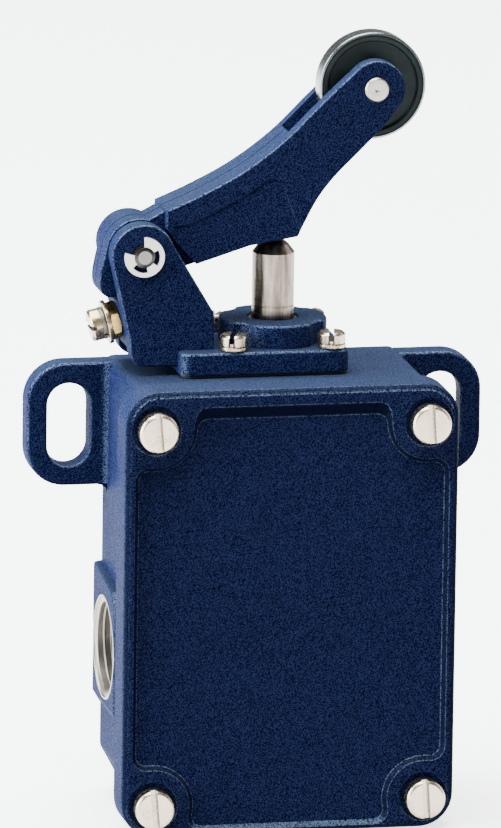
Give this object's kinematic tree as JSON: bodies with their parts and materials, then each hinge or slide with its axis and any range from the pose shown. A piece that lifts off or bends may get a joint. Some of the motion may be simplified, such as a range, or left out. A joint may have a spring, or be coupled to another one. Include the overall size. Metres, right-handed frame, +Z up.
{
  "type": "limit switch",
  "caption": "Roller lever limit switch in a die-cast housing with slotted side lugs, a screwed front cover, a threaded side cable entry and a plunger head.",
  "frame": {"origin": "on the flat mounting face, midway between the two lug slots", "axes": "+Y into the machine wall that the switch is screwed to, +Z up out of the head, +X to the right seen from the cover, away from the cable entry"},
  "size_m": [0.0946, 0.0464, 0.1591],
  "materials": {
    "navy_paint": "satin",
    "nickel_plate": "satin",
    "polished_steel": "polished",
    "roller_steel": "satin",
    "brass": "satin",
    "black_rubber": "matte",
    "dark_moulding": "matte",
    "tan_moulding": "satin",
    "spring_wire": "satin"
  },
  "bodies": {
    "body": {"housing": "navy_paint", "cover": "navy_paint", "head_bracket": "navy_paint", "cable_entry_bush": "nickel_plate", "pivot_pin": "nickel_plate", "pivot_clip": "nickel_plate", "adjusting_screw": "nickel_plate", "adjuster_washer": "nickel_plate", "cover_screw_1": "nickel_plate", "cover_screw_2": "nickel_plate", "cover_screw_3": "nickel_plate", "cover_screw_4": "nickel_plate", "head_screw_1": "nickel_plate", "head_screw_2": "nickel_plate", "head_screw_3": "nickel_plate", "head_screw_4": "nickel_plate", "terminal_screw_closed_left": "nickel_plate", "terminal_screw_closed_right": "nickel_plate", "terminal_screw_open_left": "nickel_plate", "terminal_screw_open_right": "nickel_plate", "block_screw_1": "nickel_plate", "block_screw_2": "nickel_plate", "adjuster_spring_washer": "polished_steel", "adjuster_lock_nut": "brass", "guide_bush": "brass", "earth_screw": "brass", "contact_closed_left": "brass", "contact_closed_right": "brass", "contact_open_left": "brass", "contact_open_right": "brass", "cover_gasket": "black_rubber", "head_gasket": "black_rubber", "wiper_seal": "black_rubber", "block_base": "dark_moulding", "block_cover": "tan_moulding", "plunger_spring": "spring_wire", "carrier_spring": "spring_wire"},
    "lever": {"lever": "navy_paint", "roller_axle": "nickel_plate", "roller_washer_1": "polished_steel", "roller_washer_2": "polished_steel"},
    "roller": {"roller": "roller_steel"},
    "plunger": {"plunger": "polished_steel", "plunger_stop_ring": "polished_steel"},
    "carrier": {"contact_carrier": "dark_moulding", "bridge_closed": "brass", "bridge_open": "brass"}
  },
  "joints": [
    {"name": "lever_swing", "type": "hinge", "parent": "body", "child": "lever", "pos_m": [-0.0268, -0.013, 0.0381], "axis": [0, 1, 0], "range_deg": [0, 10], "stiffness_Nm_per_rad": 2, "springref_deg": -9.74},
    {"name": "roller_spin", "type": "hinge", "parent": "lever", "child": "roller", "pos_m": [0.0214, -0.013, 0.0706], "axis": [0, 1, 0], "continuous": true},
    {"name": "plunger_slide", "type": "slide", "parent": "body", "child": "plunger", "axis": [0, 0, -1], "range_m": [0, 0.00507], "deforming": ["plunger_spring"]},
    {"name": "carrier_slide", "type": "slide", "parent": "body", "child": "carrier", "axis": [0, 0, -1], "range_m": [0, 0.00507], "deforming": ["carrier_spring"]}
  ],
  "couplings": [
    {"joint": "plunger_slide", "follows": "lever_swing", "m_per_rad": 0.029},
    {"joint": "carrier_slide", "follows": "lever_swing", "m_per_rad": 0.029}
  ]
}
